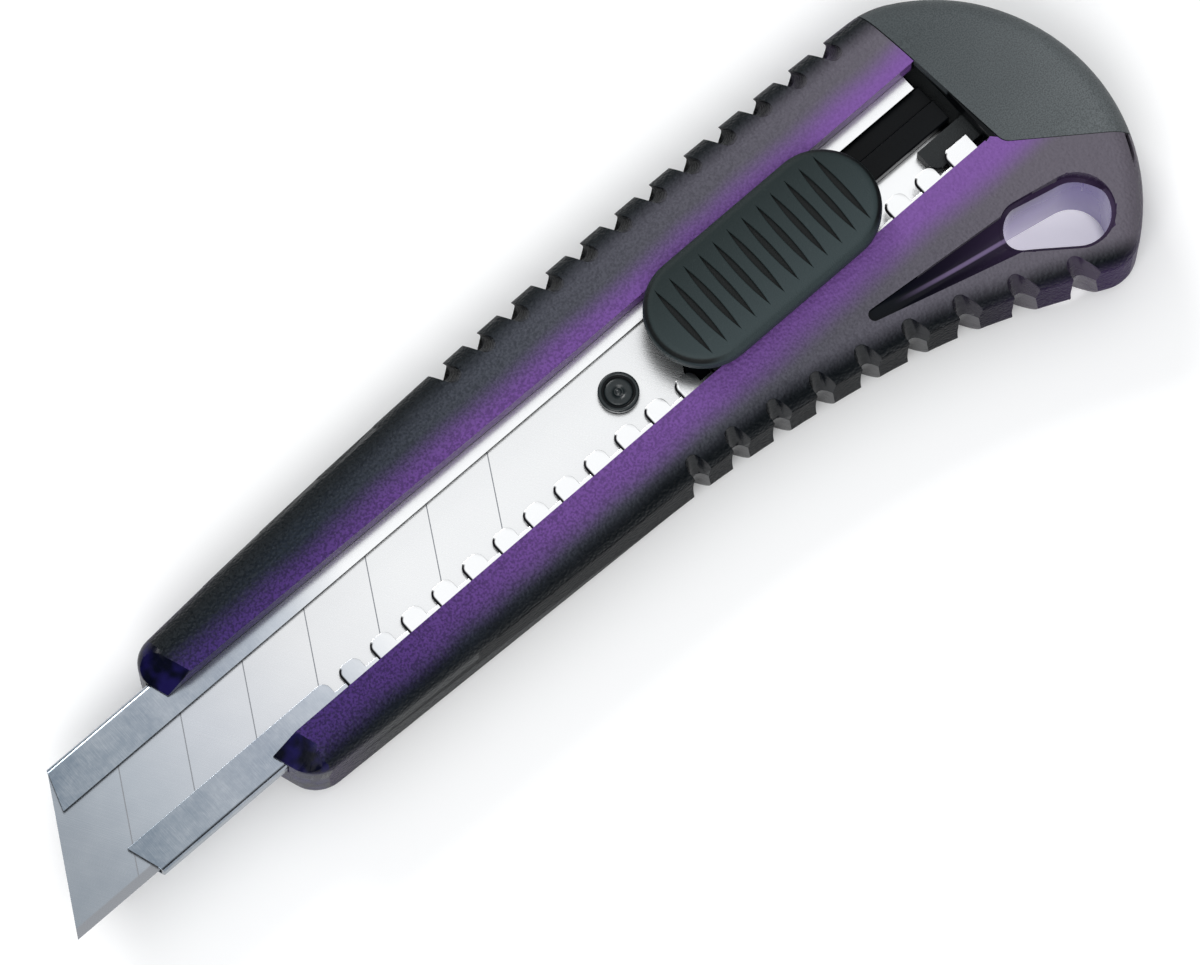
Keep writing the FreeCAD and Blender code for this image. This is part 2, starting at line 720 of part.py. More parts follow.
# ---- make and export ------------------------------------------------------------------------
def make_pieces():
    block = grip_block()
    pieces = {
        "handle_front_shell": front_shell(block),
        "handle_back_shell": back_shell(block),
        "blade_rail": rail(),
        "rail_bed": rail_bed(),
        "store_spring": store_spring(),
        "cutting_blade": blade(-tip_reach, blade_low),
        "blade_carrier": carrier(),
        "lock_spring": lock_spring(),
        "spring_rivet": spring_rivet(),
        "button_plunger": plunger(),
        "button_spring": hairpin_spring(),
        "slide_button": slide_button(),
        "end_cap": end_cap(block),
    }
    for i in range(spare_count):
        pieces["spare_blade_%d" % (i + 1)] = spare_blade(i)
    return pieces


def origin_shift(pieces):
    """From the working axes to the object's own origin, under the middle of its box."""
    whole = Part.makeCompound(list(pieces.values())).optimalBoundingBox(True, False)
    return V(-(whole.XMin + whole.XMax) / 2, -(whole.YMin + whole.YMax) / 2, -whole.ZMin)


def main():
    pieces = make_pieces()
    shift = origin_shift(pieces)
    print("origin shift", shift)
    os.makedirs("parts", exist_ok=True)
    for name, piece in pieces.items():
        placed = piece.copy()
        placed.translate(shift)
        assert placed.isValid(), name
        placed.exportStep("parts/%s.step" % name)
        print(name, round(piece.Volume, 2), "mm3")


main()
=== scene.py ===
"""A studio view of a snap-off utility knife: smoke-purple grip, steel rail and blade, black button."""
import math

import bmesh
import bpy
from mathutils import Matrix, Vector


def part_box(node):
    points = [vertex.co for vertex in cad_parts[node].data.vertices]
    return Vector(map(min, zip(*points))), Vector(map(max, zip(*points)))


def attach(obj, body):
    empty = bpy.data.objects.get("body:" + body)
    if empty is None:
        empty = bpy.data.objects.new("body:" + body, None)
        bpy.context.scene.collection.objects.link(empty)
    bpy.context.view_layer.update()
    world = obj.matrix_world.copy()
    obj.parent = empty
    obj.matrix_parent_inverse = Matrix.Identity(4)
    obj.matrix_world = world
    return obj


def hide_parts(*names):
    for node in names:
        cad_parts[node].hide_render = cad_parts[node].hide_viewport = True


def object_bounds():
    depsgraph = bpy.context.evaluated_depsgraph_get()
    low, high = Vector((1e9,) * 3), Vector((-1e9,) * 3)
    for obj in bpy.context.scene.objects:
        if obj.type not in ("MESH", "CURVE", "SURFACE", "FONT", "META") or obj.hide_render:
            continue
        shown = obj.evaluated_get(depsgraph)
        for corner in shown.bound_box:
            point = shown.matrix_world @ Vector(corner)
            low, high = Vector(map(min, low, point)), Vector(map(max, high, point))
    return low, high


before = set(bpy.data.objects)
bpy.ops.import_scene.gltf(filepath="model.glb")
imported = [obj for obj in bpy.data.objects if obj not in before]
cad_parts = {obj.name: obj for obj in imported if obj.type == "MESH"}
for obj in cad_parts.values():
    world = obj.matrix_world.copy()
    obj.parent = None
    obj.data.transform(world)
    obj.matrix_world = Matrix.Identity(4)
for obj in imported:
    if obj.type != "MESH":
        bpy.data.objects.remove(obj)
cad_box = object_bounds()

MM = 0.001

# Places on the knife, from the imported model. Along is measured from the first detent tab towards the rear,
# across from the middle of the rail towards the spine, both in millimetres.
rail_low, rail_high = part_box("blade_rail")
grip_low, grip_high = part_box("handle_front_shell")
button_low, button_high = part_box("slide_button")
blade_low, blade_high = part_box("cutting_blade")
RAIL_REAR_ALONG = 104.2
ORIGIN = Vector((rail_high.x - RAIL_REAR_ALONG * MM, (rail_low.y + rail_high.y) / 2, 0.0))
SPLIT = grip_low.z / MM
FACE = grip_high.z / MM

# The grip's outline, as the shells are moulded.
WINDOW_SPINE = 6.2
WINDOW_EDGE = -7.6
CREST = (66.0, 16.85, 943.0)          # along, across and radius of the spine side's long curve
BELLY = (44.0, -15.3, 0.0037)         # where the edge side begins to swell, and how fast
NOSE_FACET = -14.3
HEEL_FACET = -8.6
HOLE_FRONT = (101.2, -18.9, 2.8)
HOLE_REAR = (107.3, -21.6, 4.3)
HOLE_RIM = 0.65
HOLE_WALL = 0.45
GROOVE_TIP = (79.4, -15.0, 0.8)       # along, across and radius
GROOVE_HOLLOW = 1.6
STUD = (49.55, -0.94)
SHEET = 0.45                          # thickness of the rail's strip
TAB_PITCH = 5.0
TAB_CORNER = 1.1
TAB_LIP = -4.55                       # across, at the free end of the detent tabs

# Where one of the grip's finishes gives way to another.
GRAINED, POLISHED, CLEAR, PAINTED_SHADE_BLACK, SIDE_WALL = range(5)
GROOVE_START = 78.4
MOUTH_START = 104.0                   # the mouth under the end cap
MOUTH_ACROSS = (-9.5, 11.8)
MOUTH_TOP = FACE - 1.2
NOTCHES = (30.0, 106.0)               # along, from the first to the last
NOTCH_REACH = 4.5                     # inward from the outline
SKIN = 0.9                            # this near to the outline is outer wall


def along_of(point):
    return (point.x - ORIGIN.x) / MM


def across_of(point):
    return (point.y - ORIGIN.y) / MM


def crest_at(along):
    return CREST[1] - (along - CREST[0]) ** 2 / (2 * CREST[2])


def belly_at(along):
    return BELLY[1] - BELLY[2] * max(along - BELLY[0], 0.0) ** 2


# ---------------------------------------------------------------- finishes

def tone(red, green, blue):
    """A colour given as display values from 0 to 255."""
    def linear(value):
        value /= 255.0
        return value / 12.92 if value <= 0.04045 else ((value + 0.055) / 1.055) ** 2.4
    return (linear(red), linear(green), linear(blue), 1.0)


class Number:
    """A shader value that adds Math nodes when it is used in an expression."""

    def __init__(self, finish, socket):
        self.finish = finish
        self.socket = socket

    def maths(self, operation, first, second):
        return self.finish.node("ShaderNodeMath", {"operation": operation}, {0: first, 1: second})

    def __add__(self, other):
        return self.maths("ADD", self, other)

    def __radd__(self, other):
        return self.maths("ADD", other, self)

    def __sub__(self, other):
        return self.maths("SUBTRACT", self, other)

    def __rsub__(self, other):
        return self.maths("SUBTRACT", other, self)

    def __mul__(self, other):
        return self.maths("MULTIPLY", self, other)

    def __rmul__(self, other):
        return self.maths("MULTIPLY", other, self)

    def __truediv__(self, other):
        return self.maths("DIVIDE", self, other)

    def __pow__(self, other):
        return self.maths("POWER", self, other)

    def __mod__(self, other):
        return self.maths("MODULO", self, other)

    def at_least(self, other):
        return self.maths("MAXIMUM", self, other)

    def at_most(self, other):
        return self.maths("MINIMUM", self, other)

    def rise(self, start, end):
        """0 before start, 1 after end, with a smooth rise between them; end may be below start."""
        return self.finish.node(
            "ShaderNodeMapRange", {"interpolation_type": "SMOOTHSTEP"}, {0: self, 1: start, 2: end})

    def rise_evenly(self, start, end):
        return self.finish.node("ShaderNodeMapRange", None, {0: self, 1: start, 2: end})


class Finish:
    """One material, with its coordinates in millimetres along, across and up the knife."""

    def __init__(self, name):
        self.material = bpy.data.materials.new(name)
        self.material.use_nodes = True
        self.tree = self.material.node_tree
        self.tree.nodes.clear()
        place = self.node("ShaderNodeTexCoord", output="Object")
        centred = self.node("ShaderNodeVectorMath", {"operation": "SUBTRACT"}, {0: place, 1: ORIGIN})
        self.place = self.node("ShaderNodeVectorMath", {"operation": "SCALE"}, {0: centred, "Scale": 1 / MM})
        self.along = self.node("ShaderNodeSeparateXYZ", None, {0: self.place}, "X")
        self.across = self.node("ShaderNodeSeparateXYZ", None, {0: self.place}, "Y")
        self.up = self.node("ShaderNodeSeparateXYZ", None, {0: self.place}, "Z")

    def node(self, kind, settings=None, inputs=None, output=0):
        made = self.tree.nodes.new(kind)
        for key, value in (settings or {}).items():
            if key == "stops":
                self.set_stops(made.color_ramp, value)
            else:
                setattr(made, key, value)
        for key, value in (inputs or {}).items():
            if isinstance(value, Number):
                self.tree.links.new(value.socket, made.inputs[key])
            else:
                made.inputs[key].default_value = value
        return Number(self, made.outputs[output]) if made.outputs else None

    def set_stops(self, ramp, stops):
        while len(ramp.elements) < len(stops):
            ramp.elements.new(0.5)
        for element, (position, colour) in zip(ramp.elements, stops):
            element.position = position
            element.color = colour

    def blend(self, amount, first, second):
        return self.node("ShaderNodeMix", {"data_type": "RGBA"}, {0: amount, 6: first, 7: second}, 2)

    def ramp(self, amount, stops):
        return self.node("ShaderNodeValToRGB", {"stops": stops}, {0: amount})

    def noise(self, scale, detail=2.0, roughness=0.5, stretch=None):
        """Noise with about this many bumps in a millimetre."""
        vector = self.place
        if stretch:
            vector = self.node("ShaderNodeVectorMath", {"operation": "MULTIPLY"}, {0: vector, 1: stretch})
        return self.node("ShaderNodeTexNoise", None, {
            "Vector": vector, "Scale": scale, "Detail": detail, "Roughness": roughness})

    def cells(self, scale, smoothness=0.6):
        return self.node("ShaderNodeTexVoronoi", {"feature": "SMOOTH_F1"}, {
            "Vector": self.place, "Scale": scale, "Smoothness": smoothness})

    def bump(self, height, distance, strength=1.0):
        return self.node("ShaderNodeBump", None, {
            "Height": height, "Distance": distance * MM, "Strength": strength})

    def surface(self, **inputs):
        named = {key.replace("_", " "): value for key, value in inputs.items()}
        shader = self.node("ShaderNodeBsdfPrincipled", None, named)
        self.node("ShaderNodeOutputMaterial", None, {"Surface": shader})
        return self.material


def grip_depths(f):
    """How far a place is outward from the window's edge, and inward from the grip's outline."""
    inward = (f.across - WINDOW_SPINE).at_least(WINDOW_EDGE - f.across)
    from_crest = f.along - CREST[0]
    crest = CREST[1] - from_crest * from_crest * (1 / (2 * CREST[2]))
    swell = (f.along - BELLY[0]).at_least(0.0)
    belly = BELLY[1] - swell * swell * BELLY[2]
    outward = (crest - f.across).at_most(f.across - belly)
    return inward, outward


def smoke_purple_grain(name, shine):
    """Tinted see-through plastic with leather grain and painted light: a painted purple glow near the window,
    a painted grey sheen between, painted shade towards the outline, and near-black outer walls with painted
    purple glints at both ends.
    """
    f = Finish(name)
    inward, outward = grip_depths(f)
    length = f.along.rise_evenly(-24.0, 108.0)
    drift = f.noise(0.12, 3.0) - 0.5
    # Painted glow: purple near the window's edge, as if light came through the thin plastic, brighter towards
    # the rear.
    painted_glow = f.ramp(length, [
        (0.0, tone(42, 32, 88)), (0.22, tone(70, 44, 106)), (0.42, tone(100, 66, 132)),
        (1.0, tone(116, 80, 146))])
    # Painted sheen: grey between glow and outline, dark at the front and light at the rear.
    middle = f.ramp(length, [
        (0.0, tone(6, 10, 18)), (0.25, tone(28, 34, 44)), (0.5, tone(64, 66, 74)), (1.0, tone(93, 88, 97))])
    # Near-black for the painted shade towards the outline, and for the dark speckle of the grain.
    painted_shade_and_speckle = tone(2, 5, 8)
    # The painted glow reaches further and the painted shade less far on the spine side, the side the light
    # comes from.
    spine_side = f.across.rise_evenly(-0.5, 0.5)
    painted_glow_share = (inward + drift * 1.6 + spine_side * 1.4).rise(6.0, 1.8)
    painted_shade_share = (outward + drift - spine_side * 0.8).rise(3.8, 0.6)
    colour = f.blend(painted_glow_share, middle, painted_glow)
    colour = f.blend(painted_shade_share, colour, painted_shade_and_speckle)
    # The outer walls go near-black, with painted purple glints towards both ends.
    wall = f.up.rise(FACE - 1.6, FACE - 4.0)
    painted_glints_at_ends = f.along.rise(84.0, 110.0) + f.along.rise(2.0, -12.0) * 0.9
    colour = f.blend(wall, colour, f.blend(painted_glints_at_ends, tone(1, 3, 7), tone(50, 34, 70)))
    grain = f.cells(2.1) * 0.7 + f.noise(3.4, 3.0) * 0.5
    speckle = f.noise(3.1, 2.0).rise(0.4, 0.62)
    colour = f.blend(speckle * (0.62 - length * 0.55), colour, painted_shade_and_speckle)
    return f.surface(
        Base_Color=colour, Roughness=0.34 + grain * 0.14, IOR=1.47, Specular_IOR_Level=shine,
        Specular_Tint=(0.8, 0.92, 1.0, 1.0), Normal=f.bump(grain, 0.16))


def smoke_purple_gloss():
    """The same plastic, polished: the chamfered tips, the notches and the thumb groove, with a painted
    highlight along the groove's ridge.
    """
    f = Finish("smoke_purple_polished")
    front = f.along.rise(-4.0, 20.0)
    rear = f.along.rise(80.0, 112.0)
    clouds = f.noise(0.35, 2.0).rise(0.35, 0.65)
    navy = f.blend(clouds, tone(2, 4, 18), tone(20, 16, 62))
    colour = f.blend(front, navy, tone(8, 12, 18))
    colour = f.blend(rear, colour, tone(52, 40, 64))
    ripple = f.noise(0.6, 2.0)
    # Painted highlight: a light line along the ridge of the thumb groove.
    run = (f.along - GROOVE_TIP[0]) / (HOLE_FRONT[0] - GROOVE_TIP[0])
    off_ridge = f.across - (run * (HOLE_FRONT[1] - GROOVE_TIP[1]) + GROOVE_TIP[1] + 0.25)
    painted_ridge_highlight = (off_ridge * off_ridge).rise(0.12, 0.0) * f.along.rise(82.0, 92.0) * f.along.rise(102.0, 98.0)
    colour = f.blend(painted_ridge_highlight * 0.8, colour, tone(120, 104, 140))
    return f.surface(
        Base_Color=colour, Roughness=0.2 + ripple * 0.12, IOR=1.5, Specular_IOR_Level=0.09,
        Normal=f.bump(ripple, 0.03))


def smoke_purple_clear():
    """The wall of the lanyard hole, with painted light coming through the plastic: lighter towards the
    bottom, and a painted glow that also lights the table in the hole.
    """
    f = Finish("smoke_purple_clear")
    rear = f.along.rise(100.0, 112.0)
    # Painted light through the plastic: pale near the table, dark lilac near the face.
    high = f.ramp(f.up.rise_evenly(0.0, FACE), [
        (0.0, tone(190, 184, 204)), (0.4, tone(146, 134, 174)), (0.7, tone(88, 72, 124)),
        (0.92, tone(34, 26, 56))])
    colour = f.blend(rear * 0.8, high, tone(54, 28, 112))
    # Painted glow: the wall gives off a little light of its own.
    painted_hole_glow = f.blend(0.15, colour, (1.0, 1.0, 1.0, 1.0))
    ripple = f.noise(0.35, 2.0)
    return f.surface(
        Base_Color=colour, Roughness=0.12 + ripple * 0.1, IOR=1.5, Emission_Color=painted_hole_glow, Emission_Strength=0.22,
        Normal=f.bump(ripple, 0.03))


def charcoal_cap():
    f = Finish("charcoal_fine_grain")
    grain = f.noise(5.5, 3.0, 0.6)
    patch = f.noise(0.15, 2.0)
    rear = (f.along - f.across * 0.6).rise_evenly(98.0, 128.0)
    colour = f.blend(rear, tone(62, 69, 71), tone(96, 101, 103))
    colour = f.blend(patch * 0.3, colour, tone(48, 54, 56))
    colour = f.blend(grain.rise(0.38, 0.66) * 0.5, colour, tone(26, 31, 33))
    # Painted shade: the cap's lower parts, down in the grip's mouth, darken nearly to black.
    colour = f.blend(f.up.rise(FACE - 1.5, FACE - 3.5) * 0.85, colour, tone(4, 7, 8))
    return f.surface(
        Base_Color=colour, Roughness=0.5 + grain * 0.14, IOR=1.45, Specular_IOR_Level=0.35,
        Normal=f.bump(grain, 0.06))


def button_rubber():
    f = Finish("green_black_soft_touch")
    grain = f.noise(6.0, 3.0, 0.6)
    dust = f.noise(0.9, 4.0, 0.7).rise(0.62, 0.78)
    # Painted sheen: lighter towards the edge side, the side nearer the camera.
    near = f.across.rise_evenly(7.0, -9.0)
    colour = f.blend(near, tone(12, 26, 26), tone(48, 59, 61))
    colour = f.blend(dust * 0.2, colour, tone(70, 80, 78))
    top = button_high.z / MM
    # Painted shade: the floors between the ribs, inside the button's rim, darken almost to black.
    painted_rib_shade = f.up.rise(top - 0.1, top - 0.3) * f.up.rise(top - 0.8, top - 0.6)
    inner = f.across.rise(-8.0, -6.5) * f.across.rise(6.2, 4.7)
    colour = f.blend(painted_rib_shade * inner, colour, tone(4, 9, 9))
    return f.surface(
        Base_Color=colour, Roughness=0.48 + grain * 0.16, IOR=1.42, Specular_IOR_Level=0.3,
        Normal=f.bump(grain, 0.05))


def black_plastic(name, dark, light, shine):
    f = Finish(name)
    grain = f.noise(2.5, 2.0)
    colour = f.blend(grain, dark, light)
    return f.surface(
        Base_Color=colour, Roughness=0.24 + grain * 0.1, IOR=1.47, Specular_IOR_Level=shine,
        Normal=f.bump(grain, 0.012))


def rail_steel():
    """Bright rolled strip with fine lines across it, with a painted reflection darker towards the front, and
    painted shade under the end cap and along the front edge of each detent tab.
    """
    f = Finish("rolled_steel_strip")
    lines = f.noise(1.0, 3.0, 0.65, (9.0, 0.35, 1.0))
    blotch = f.noise(0.22, 3.0)
    flange_low = rail_high.z / MM - SHEET
    # Painted reflection: darker and bluer towards the front, where the strip reflects the darker room.
    painted_reflection = f.ramp(f.along.rise_evenly(-36.0, 12.0), [
        (0.0, tone(60, 84, 104)), (0.2, tone(104, 118, 132)), (0.55, tone(130, 140, 154)),
        (0.72, tone(170, 177, 187)), (0.95, tone(238, 238, 238))])
    mottle = f.noise(1.1, 3.0, 0.6).rise(0.35, 0.75)
    colour = f.blend(blotch * 0.26 + mottle * 0.05 + lines.rise(0.4, 0.7) * 0.07, painted_reflection, tone(250, 250, 250))
    # Painted shade: the strip's floor under the end cap goes black.
    painted_shade_under_cap = f.along.rise(99.5, 103.0) * f.up.rise(flange_low, flange_low - 0.3)
    colour = f.blend(painted_shade_under_cap, colour, tone(10, 11, 13))
    # Painted shade: a dark crescent along the front edge of each detent tab, on the flange's upper face.
    on_tab = f.along.at_least(0.0) % TAB_PITCH
    before = (TAB_CORNER - on_tab).at_least(0.0)
    beyond = (f.across - (TAB_LIP - TAB_CORNER)).at_least(0.0)
    away = (before * before + beyond * beyond) ** 0.5
    facing_front = (before / away.at_least(0.01)).rise(0.25, 0.6)
    painted_tab_shade = away.rise(TAB_CORNER - 0.42, TAB_CORNER - 0.2) * facing_front
    on_flange = f.up.rise(flange_low, flange_low + 0.1) * f.along.rise(-0.1, 0.0)
    on_flange = on_flange * f.across.rise(TAB_LIP + 0.1, TAB_LIP)
    colour = f.blend(painted_tab_shade * on_flange, colour, tone(14, 14, 17))
    return f.surface(
        Base_Color=colour, Metallic=1.0, Roughness=0.17 + lines * 0.1,
        Normal=f.bump(lines, 0.005))


def cut_edge_shade_steel():
    """The cut edges of the rail's strip, near-black: a rough cut edge with painted shade along it."""
    f = Finish("cut_steel_edge_painted_shade")
    lines = f.noise(1.0, 2.0, 0.6, (6.0, 6.0, 0.8))
    colour = f.blend(lines, tone(4, 4, 6), tone(30, 31, 34))
    return f.surface(
        Base_Color=colour, Roughness=0.4 + lines * 0.15, Specular_IOR_Level=0.2,
        Normal=f.bump(lines, 0.01))


def blade_steel():
    """Ground steel: hair lines along the snap lines, a painted reflection darker towards the tip, and painted
    shade that turns everything below the face darker grey, in the score lines and on the cutting edge's
    bevel.
    """
    f = Finish("ground_blade_steel")
    slant = f.along + f.across * 0.59
    lines = f.node("ShaderNodeTexNoise", {"noise_dimensions": "1D"}, {
        "W": slant * 7.0, "Scale": 1.0, "Detail": 3.0})
    blotch = f.noise(0.3, 3.0)
    # Painted reflection: darker towards the tip.
    painted_reflection = f.ramp(f.along.rise_evenly(-46.0, 14.0), [
        (0.0, tone(118, 127, 136)), (0.15, tone(130, 138, 147)), (0.3, tone(156, 163, 171)),
        (0.5, tone(186, 189, 195)), (0.75, tone(216, 216, 217)), (1.0, tone(228, 228, 228))])
    colour = f.blend(blotch * 0.1 + lines * 0.1, painted_reflection, tone(246, 246, 246))
    face = blade_high.z / MM
    # Painted shade in the score lines: everything below the blade's face turns darker grey, the cutting
    # edge's bevel too.
    colour = f.blend(f.up.rise(face - 0.02, face - 0.06), colour, tone(140, 142, 146))
    return f.surface(
        Base_Color=colour, Metallic=1.0, Roughness=0.22 + lines * 0.1,
        Normal=f.bump(lines, 0.004))


def spring_steel():
    f = Finish("spring_steel")
    lines = f.noise(1.0, 3.0, 0.6, (1.0, 8.0, 1.0))
    colour = f.blend(lines, tone(150, 152, 156), tone(190, 192, 196))
    return f.surface(
        Base_Color=colour, Metallic=1.0, Roughness=0.26 + lines * 0.12,
        Normal=f.bump(lines, 0.008))


def table_top():
    """White board, with a painted glow under the lanyard hole for the light that the see-through plastic lets
    in.
    """
    f = Finish("white_table")
    colour = f.blend(f.noise(0.004, 2.0), (0.9, 0.9, 0.9, 1.0), (0.93, 0.93, 0.93, 1.0))
    east = f.along - (HOLE_FRONT[0] + HOLE_REAR[0]) / 2
    north = f.across - (HOLE_FRONT[1] + HOLE_REAR[1]) / 2
    inside = (east * east + north * north).rise(62.0, 40.0)
    # Painted light: the table glows a little under the lanyard hole.
    painted_glow_in_hole = f.blend(inside, (0.0, 0.0, 0.0, 1.0), (0.92, 0.9, 0.94, 1.0))
    return f.surface(Base_Color=colour, Roughness=0.85, Emission_Color=painted_glow_in_hole, Emission_Strength=0.3)


# ---------------------------------------------------------------- meshes

def merged(node):
    """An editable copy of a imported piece, with its loose triangles joined."""
    mesh = bmesh.new()
    mesh.from_mesh(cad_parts[node].data)
    bmesh.ops.remove_doubles(mesh, verts=mesh.verts, dist=0.002 * MM)
    bmesh.ops.dissolve_degenerate(mesh, edges=mesh.edges, dist=0.001 * MM)
    return mesh


def soften(mesh, width, segments=2, angle=42.0):
    """Breaks the sharp edges, as a mould or a tumbling barrel leaves them."""
    bmesh.ops.dissolve_limit(mesh, angle_limit=math.radians(0.6), verts=mesh.verts, edges=mesh.edges)
    sharp = [e for e in mesh.edges if len(e.link_faces) == 2 and e.calc_face_angle(0.0) > math.radians(angle)]
    bmesh.ops.bevel(mesh, geom=sharp, offset=width * MM, offset_type="OFFSET", segments=segments, profile=0.5,
                    affect="EDGES", clamp_overlap=True)
    bmesh.ops.triangulate(mesh, faces=[p for p in mesh.faces if len(p.verts) > 4])


def slice_grid(mesh, along_step, across_step, lowest):
    """Cuts the upper faces into a grid, so that they can be bent."""
    low = Vector([min(v.co[i] for v in mesh.verts) for i in range(3)])
    high = Vector([max(v.co[i] for v in mesh.verts) for i in range(3)])
    for axis, step in ((0, along_step * MM), (1, across_step * MM)):
        count = int((high[axis] - low[axis]) / step)
        for index in range(1, count + 1):
            spot = low.copy()
            spot[axis] = low[axis] + step * index
            direction = Vector((1.0, 0.0, 0.0)) if axis == 0 else Vector((0.0, 1.0, 0.0))
            faces = [p for p in mesh.faces if max(v.co.z for v in p.verts) > lowest * MM]
            edges = list({e for p in faces for e in p.edges})
            verts = list({v for p in faces for v in p.verts})
            bmesh.ops.bisect_plane(
                mesh, geom=verts + edges + faces, plane_co=spot, plane_no=direction, dist=1e-7)


def crown(mesh, fall):
    """Lowers the grip's face towards its outline, most at the shoulders."""
    for vert in mesh.verts:
        along, across, up = along_of(vert.co), across_of(vert.co), vert.co.z / MM
        if up <= SPLIT:
            continue
        if across > 0:
            share = (across - WINDOW_SPINE) / (crest_at(along) - WINDOW_SPINE)
        else:
            share = (WINDOW_EDGE - across) / (WINDOW_EDGE - belly_at(along))
        share = min(max(share, 0.0), 1.0)
        vert.co.z -= fall * share ** 2 * (up - SPLIT) / (FACE - SPLIT) * MM


def groove_share(along, across):
    """0 on the edge of the thumb groove, 1 along its middle, and below 0 outside it."""
    run = min(max((along - GROOVE_TIP[0]) / (HOLE_FRONT[0] - GROOVE_TIP[0]), 0.0), 1.0)
    middle = GROOVE_TIP[1] + (HOLE_FRONT[1] - GROOVE_TIP[1]) * run
    half = GROOVE_TIP[2] + (HOLE_FRONT[2] - GROOVE_TIP[2]) * run
    return 1.0 - ((across - middle) / half) ** 2


def scoop(mesh):
    """Hollows the floor of the thumb groove, deeper towards the lanyard hole."""
    for vert in mesh.verts:
        along, across, up = along_of(vert.co), across_of(vert.co), vert.co.z / MM
        share = groove_share(along, across)
        if along > GROOVE_TIP[0] and share > 0.0 and FACE - 1.2 < up < FACE - 0.8:
            vert.co.z -= share * min((along - GROOVE_TIP[0]) / 12.0, 1.0) * GROOVE_HOLLOW * MM


def piece(name, mesh, materials, body, replaced, sharp=34.0):
    """Turns a finished mesh into a smooth-shaded piece on its body."""
    for edge in mesh.edges:
        edge.smooth = len(edge.link_faces) == 2 and edge.calc_face_angle(0.0) < math.radians(sharp)
    for face in mesh.faces:
        face.smooth = True
    data = bpy.data.meshes.new(name)
    mesh.to_mesh(data)
    mesh.free()
    for material in materials:
        data.materials.append(material)
    made = bpy.data.objects.new(name, data)
    bpy.context.scene.collection.objects.link(made)
    weighted = made.modifiers.new("even_shading", "WEIGHTED_NORMAL")
    weighted.keep_sharp = True
    weighted.weight = 80
    settle(made)
    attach(made, body)
    if replaced:
        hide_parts(*replaced)


def settle(made):
    """Applies what is on an object, and leaves it a plain mesh."""
    bpy.context.view_layer.update()
    shape = made.evaluated_get(bpy.context.evaluated_depsgraph_get())
    data = bpy.data.meshes.new_from_object(shape)
    made.modifiers.clear()
    made.data = data


def in_hole(along, across, grow):
    """Whether a place is inside the lanyard hole's outline, made larger by grow."""
    (ax, ay, ar), (bx, by, br) = HOLE_FRONT, HOLE_REAR
    run = (bx - ax, by - ay)
    share = ((along - ax) * run[0] + (across - ay) * run[1]) / (run[0] ** 2 + run[1] ** 2)
    share = min(max(share, 0.0), 1.0)
    away = math.hypot(along - ax - run[0] * share, across - ay - run[1] * share)
    return away < ar + (br - ar) * share + grow


def mark_grip_faces(mesh):
    """Sets which faces are grained, polished, clear, black or side wall; the black, in the mouth under the
    cap, and the low-shine side wall are painted shade.
    """
    mesh.normal_update()
    for face in mesh.faces:
        centre = face.calc_center_median()
        along, across, up = along_of(centre), across_of(centre), centre.z / MM
        upright = abs(face.normal.z) < 0.3
        tip = along < (NOSE_FACET if across > 0 else HEEL_FACET) and face.normal.z < 0.97
        groove = (GROOVE_START < along < HOLE_FRONT[0] and groove_share(along, across) > -0.5
                  and SPLIT + 1.0 < up < FACE - 0.75)
        depth = min(crest_at(along) - across, across - belly_at(along))
        turned_in = depth > SKIN or abs(face.normal.x) > 0.6
        notched = (abs(face.normal.z) < 0.6 and -0.5 < depth < NOTCH_REACH
                   and NOTCHES[0] < along < NOTCHES[1] and turned_in)
        in_window = WINDOW_EDGE < across < WINDOW_SPINE
        # Faces in the mouth under the end cap take the black finish: painted shade.
        mouth = (along > MOUTH_START and MOUTH_ACROSS[0] < across < MOUTH_ACROSS[1]
                 and (up < MOUTH_TOP or in_window))
        if in_hole(along, across, HOLE_WALL) and upright:
            face.material_index = CLEAR
        elif mouth:
            face.material_index = PAINTED_SHADE_BLACK
        # The spine side's notches take the low-shine side wall copy: painted shade.
        elif notched and across > 0:
            face.material_index = SIDE_WALL
        elif tip or groove or notched or in_hole(along, across, HOLE_RIM):
            face.material_index = POLISHED
        elif upright and depth < SKIN:
            face.material_index = SIDE_WALL
        else:
            face.material_index = GRAINED


def mark_cut_edges(mesh):
    """Gives the cut edges of the rail's flanges their near-black finish, partly painted shade."""
    mesh.normal_update()
    flange = rail_high.z - (SHEET + 0.05) * MM
    for face in mesh.faces:
        centre = face.calc_center_median()
        tilted = abs(face.normal.z) < (0.98 if face.normal.x < -0.15 else 0.8)
        edge_on = tilted and centre.z > flange and abs(across_of(centre)) < 8.8
        face.material_index = 1 if edge_on else 0


# ---------------------------------------------------------------- the knife

grained = smoke_purple_grain("smoke_purple_grained", 0.13)
# A copy of the same plastic with a quarter of its shine, for the upright outer walls and the spine side's
# notches: painted shade, so that they show darker.
side_wall = smoke_purple_grain("smoke_purple_side_wall", 0.03)
polished = smoke_purple_gloss()
clear = smoke_purple_clear()
cap_finish = charcoal_cap()
rubber = button_rubber()
black = black_plastic("black_moulded", tone(2, 4, 5), tone(9, 11, 14), 0.12)
stud_finish = black_plastic("black_moulded_stud", tone(12, 18, 19), tone(30, 38, 40), 0.4)
# The black finish here is painted shade for the mouth under the end cap.
grip_finishes = [grained, polished, clear, black, side_wall]
strip = rail_steel()
cut_edge_shade = cut_edge_shade_steel()
ground = blade_steel()
sprung = spring_steel()


